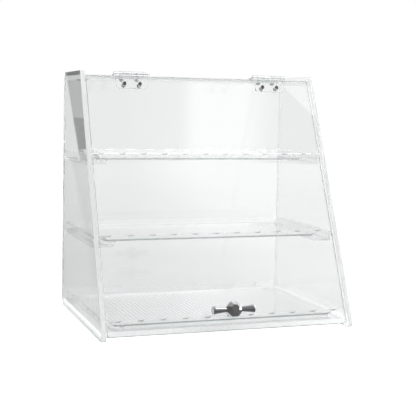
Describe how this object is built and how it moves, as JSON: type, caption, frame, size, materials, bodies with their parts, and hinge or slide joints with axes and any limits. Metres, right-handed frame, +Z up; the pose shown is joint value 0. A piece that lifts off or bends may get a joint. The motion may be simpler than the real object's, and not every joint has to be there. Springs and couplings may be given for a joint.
{
  "type": "countertop bread display bin",
  "caption": "Clear slant-front countertop display case with a top-hung door, a chrome knob and removable moulded trays on side rails.",
  "frame": {"origin": "middle of the whole part's footprint, on the counter", "axes": "+X to the viewer's right, +Y from the front to the back, +Z up"},
  "size_m": [0.356, 0.2616, 0.3485],
  "materials": {
    "clear_sheet": "clear polished sheet",
    "clear_tray": "clear moulded, ribbed floor",
    "hinge_plastic": "clear moulded",
    "pin_steel": "drawn wire",
    "fastener_steel": "bright zinc plated",
    "knob_chrome": "polished"
  },
  "bodies": {
    "cabinet": {"left_side_panel": "clear_sheet", "right_side_panel": "clear_sheet", "back_panel": "clear_sheet", "top_panel": "clear_sheet", "base_panel": "clear_sheet", "upper_left_rail": "clear_sheet", "upper_right_rail": "clear_sheet", "middle_left_rail": "clear_sheet", "middle_right_rail": "clear_sheet", "left_hinge_fixed_leaf": "hinge_plastic", "right_hinge_fixed_leaf": "hinge_plastic", "left_hinge_pin": "pin_steel", "right_hinge_pin": "pin_steel", "hinge_top_bolts": "fastener_steel", "hinge_top_nuts": "fastener_steel"},
    "door": {"front_door": "clear_sheet", "left_hinge_door_leaf": "hinge_plastic", "right_hinge_door_leaf": "hinge_plastic", "hinge_door_bolts": "fastener_steel", "hinge_door_nuts": "fastener_steel", "knob_hub": "knob_chrome", "knob_left_arm": "knob_chrome", "knob_right_arm": "knob_chrome", "knob_screw": "fastener_steel", "knob_washer": "fastener_steel"},
    "upper_tray": {"upper_tray": "clear_tray"},
    "middle_tray": {"middle_tray": "clear_tray"},
    "bottom_tray": {"bottom_tray": "clear_tray"}
  },
  "joints": [
    {"name": "door_hinge", "type": "hinge", "parent": "cabinet", "child": "door", "pos_m": [0, 0.02039, 0.34545], "axis": [-1, 0, 0], "range_deg": [0, 225]},
    {"name": "upper_tray_slide", "type": "slide", "parent": "cabinet", "child": "upper_tray", "axis": [0, -1, 0], "range_m": [0, 0.095]},
    {"name": "middle_tray_slide", "type": "slide", "parent": "cabinet", "child": "middle_tray", "axis": [0, -1, 0], "range_m": [0, 0.14]},
    {"name": "bottom_tray_slide", "type": "slide", "parent": "cabinet", "child": "bottom_tray", "axis": [0, -1, 0], "range_m": [0, 0.19]}
  ],
  "couplings": [
    {"joint": "upper_tray_slide", "follows": "door_hinge", "m_per_rad": 0.024191},
    {"joint": "middle_tray_slide", "follows": "door_hinge", "m_per_rad": 0.03565},
    {"joint": "bottom_tray_slide", "follows": "door_hinge", "m_per_rad": 0.048383}
  ]
}
